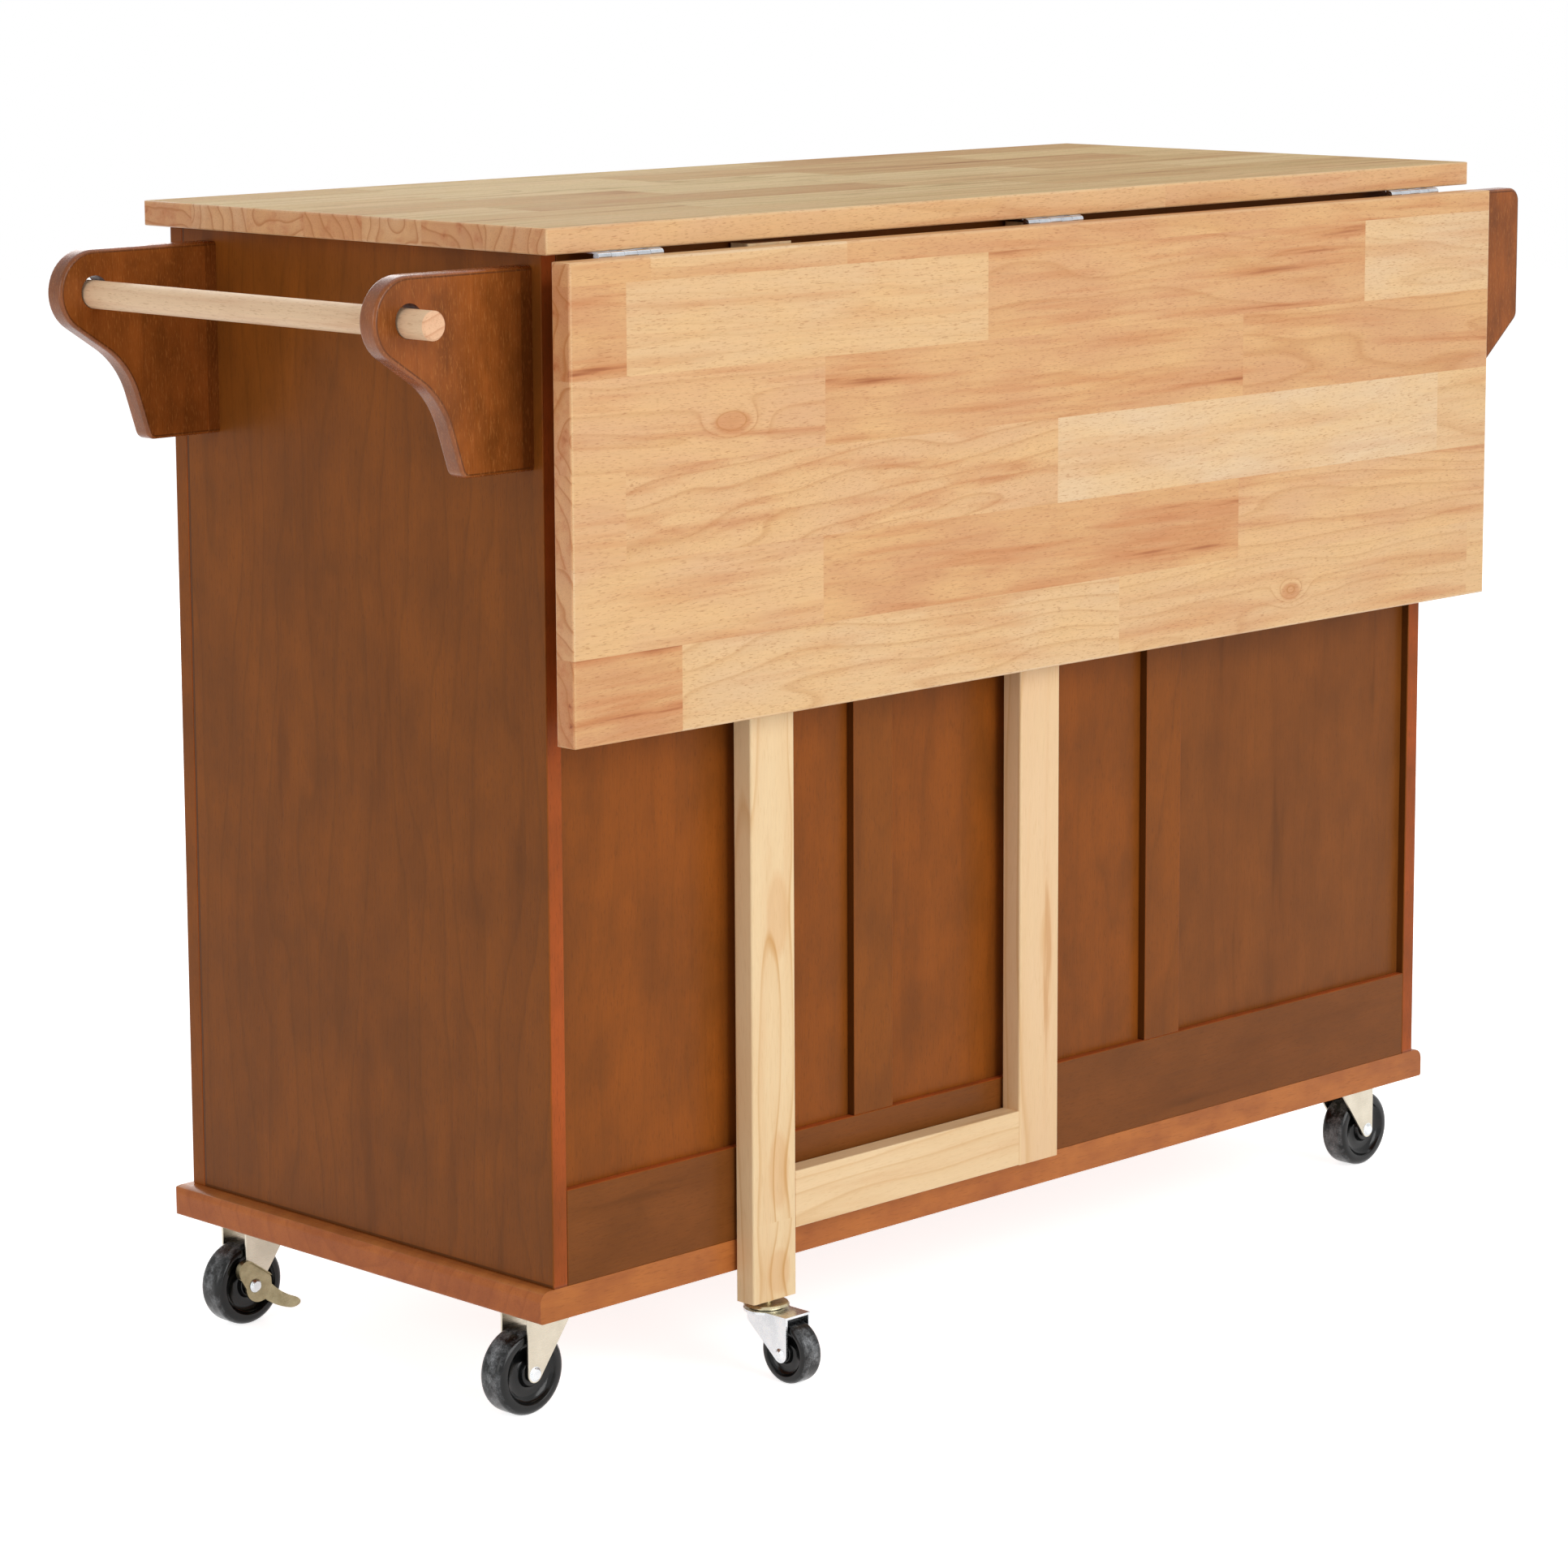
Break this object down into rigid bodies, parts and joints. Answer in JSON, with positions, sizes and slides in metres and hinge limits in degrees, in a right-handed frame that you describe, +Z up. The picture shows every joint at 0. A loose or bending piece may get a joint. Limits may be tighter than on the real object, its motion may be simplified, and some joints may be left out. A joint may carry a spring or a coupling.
{
  "type": "drop leaf kitchen island",
  "caption": "Rolling kitchen island with a solid wood worktop, a hinged drop leaf on a gate leg, doors and drawers, a towel bar and a spice rack.",
  "frame": {"origin": "on the floor, at the middle of the outline seen from above", "axes": "+X towards the towel bar end, +Y towards the back with the drop leaf, +Z up"},
  "size_m": [1.361, 0.5314, 0.92],
  "materials": {
    "worktop_wood": "satin oiled solid staves",
    "pine": "satin clear lacquer",
    "dark_stain": "satin brown stain",
    "base_stain": "satin reddish stain",
    "zinc": "bright zinc plate",
    "nickel": "satin nickel plate",
    "lever_steel": "passivated zinc plate",
    "hinge_steel": "zinc plate",
    "knob_steel": "satin nickel plate",
    "wheel_black": "moulded, scuffed tread"
  },
  "bodies": {
    "cabinet": {"worktop": "worktop_wood", "base_board": "base_stain", "right_side_panel": "dark_stain", "left_side_panel": "dark_stain", "dividers": "dark_stain", "back_panel": "dark_stain", "back_battens": "dark_stain", "back_rails": "dark_stain", "face_stiles": "dark_stain", "face_rails": "dark_stain", "shelves": "dark_stain", "shelf_pins": "hinge_steel", "towel_brackets": "dark_stain", "spice_brackets": "dark_stain", "spice_shelf": "dark_stain", "spice_rail": "dark_stain", "leaf_hinge_fixed_leaves": "hinge_steel", "leaf_hinge_pins": "hinge_steel", "gate_hinge_fixed_leaves": "hinge_steel", "caster_plates": "nickel", "door_hinge_fixed_leaves": "hinge_steel", "drawer_runners": "pine"},
    "leaf": {"drop_leaf": "worktop_wood", "leaf_hinge_moving_leaves": "hinge_steel"},
    "gate": {"gate_caster_leg": "pine", "gate_pivot_stile": "pine", "gate_rails": "pine", "gate_hinge_moving_leaves": "hinge_steel", "gate_caster_stem": "zinc"},
    "gate_caster": {"gate_caster_fork": "zinc"},
    "gate_wheel": {"gate_caster_wheel": "wheel_black"},
    "towel_bar": {"towel_bar": "pine"},
    "right_door": {"right_door_frame": "dark_stain", "right_door_panel": "dark_stain", "right_door_knob": "knob_steel", "right_door_hinge_leaves": "hinge_steel"},
    "left_door": {"left_door_frame": "dark_stain", "left_door_panel": "dark_stain", "left_door_knob": "knob_steel", "left_door_hinge_leaves": "hinge_steel"},
    "front_right_caster": {"fork_front_right": "nickel"},
    "front_right_wheel": {"wheel_front_right": "wheel_black"},
    "front_left_caster": {"fork_front_left": "nickel"},
    "front_left_wheel": {"wheel_front_left": "wheel_black"},
    "back_right_caster": {"fork_back_right": "nickel"},
    "back_right_wheel": {"wheel_back_right": "wheel_black"},
    "back_left_caster": {"fork_back_left": "nickel"},
    "back_left_wheel": {"wheel_back_left": "wheel_black"},
    "right_brake_lever": {"brake_lever_front_right": "lever_steel"},
    "left_brake_lever": {"brake_lever_front_left": "lever_steel"},
    "top_drawer": {"top_drawer_front": "dark_stain", "top_drawer_box": "pine", "top_drawer_knob": "knob_steel"},
    "middle_drawer": {"middle_drawer_front": "dark_stain", "middle_drawer_box": "pine", "middle_drawer_knob": "knob_steel"},
    "bottom_drawer": {"bottom_drawer_front": "dark_stain", "bottom_drawer_box": "pine", "bottom_drawer_knob": "knob_steel"}
  },
  "joints": [
    {"name": "leaf_hinge", "type": "hinge", "parent": "cabinet", "child": "leaf", "pos_m": [0, 0.2313, 0.8965], "axis": [1, 0, 0], "range_deg": [0, 90]},
    {"name": "gate_swing", "type": "hinge", "parent": "cabinet", "child": "gate", "pos_m": [-0.0228, 0.2029, 0.506], "axis": [0, 0, 1], "range_deg": [0, 1.5]},
    {"name": "gate_caster_swivel", "type": "hinge", "parent": "gate", "child": "gate_caster", "pos_m": [0.31325, 0.2127, 0.057], "axis": [0, 0, 1], "continuous": true},
    {"name": "gate_wheel_roll", "type": "hinge", "parent": "gate_caster", "child": "gate_wheel", "pos_m": [0.31325, 0.2407, 0.025], "axis": [1, 0, 0], "continuous": true},
    {"name": "front_right_swivel", "type": "hinge", "parent": "cabinet", "child": "front_right_caster", "pos_m": [0.488, -0.1977, 0.08], "axis": [0, 0, 1], "continuous": true},
    {"name": "front_right_roll", "type": "hinge", "parent": "front_right_caster", "child": "front_right_wheel", "pos_m": [0.514, -0.1977, 0.034], "axis": [0, 1, 0], "continuous": true},
    {"name": "back_right_swivel", "type": "hinge", "parent": "cabinet", "child": "back_right_caster", "pos_m": [0.488, 0.1463, 0.08], "axis": [0, 0, 1], "continuous": true},
    {"name": "back_right_roll", "type": "hinge", "parent": "back_right_caster", "child": "back_right_wheel", "pos_m": [0.514, 0.1463, 0.034], "axis": [0, 1, 0], "continuous": true},
    {"name": "right_brake", "type": "hinge", "parent": "front_right_caster", "child": "right_brake_lever", "pos_m": [0.514, -0.1977, 0.034], "axis": [0, 1, 0], "range_deg": [0, 25]},
    {"name": "front_left_swivel", "type": "hinge", "parent": "cabinet", "child": "front_left_caster", "pos_m": [-0.488, -0.1977, 0.08], "axis": [0, 0, 1], "continuous": true},
    {"name": "front_left_roll", "type": "hinge", "parent": "front_left_caster", "child": "front_left_wheel", "pos_m": [-0.514, -0.1977, 0.034], "axis": [0, 1, 0], "continuous": true},
    {"name": "back_left_swivel", "type": "hinge", "parent": "cabinet", "child": "back_left_caster", "pos_m": [-0.488, 0.1463, 0.08], "axis": [0, 0, 1], "continuous": true},
    {"name": "back_left_roll", "type": "hinge", "parent": "back_left_caster", "child": "back_left_wheel", "pos_m": [-0.514, 0.1463, 0.034], "axis": [0, 1, 0], "continuous": true},
    {"name": "left_brake", "type": "hinge", "parent": "front_left_caster", "child": "left_brake_lever", "pos_m": [-0.514, -0.1977, 0.034], "axis": [0, -1, 0], "range_deg": [0, 25]},
    {"name": "towel_bar_turn", "type": "hinge", "parent": "cabinet", "child": "towel_bar", "pos_m": [0.6475, -0.0047, 0.8548], "axis": [0, 1, 0], "continuous": true},
    {"name": "right_door_hinge", "type": "hinge", "parent": "cabinet", "child": "right_door", "pos_m": [0.4825, -0.243, 0.501], "axis": [0, 0, 1], "range_deg": [0, 100]},
    {"name": "left_door_hinge", "type": "hinge", "parent": "cabinet", "child": "left_door", "pos_m": [-0.4825, -0.243, 0.501], "axis": [0, 0, -1], "range_deg": [0, 100]},
    {"name": "top_drawer_slide", "type": "slide", "parent": "cabinet", "child": "top_drawer", "axis": [0, -1, 0], "range_m": [0, 0.3]},
    {"name": "middle_drawer_slide", "type": "slide", "parent": "cabinet", "child": "middle_drawer", "axis": [0, -1, 0], "range_m": [0, 0.3]},
    {"name": "bottom_drawer_slide", "type": "slide", "parent": "cabinet", "child": "bottom_drawer", "axis": [0, -1, 0], "range_m": [0, 0.3]}
  ]
}
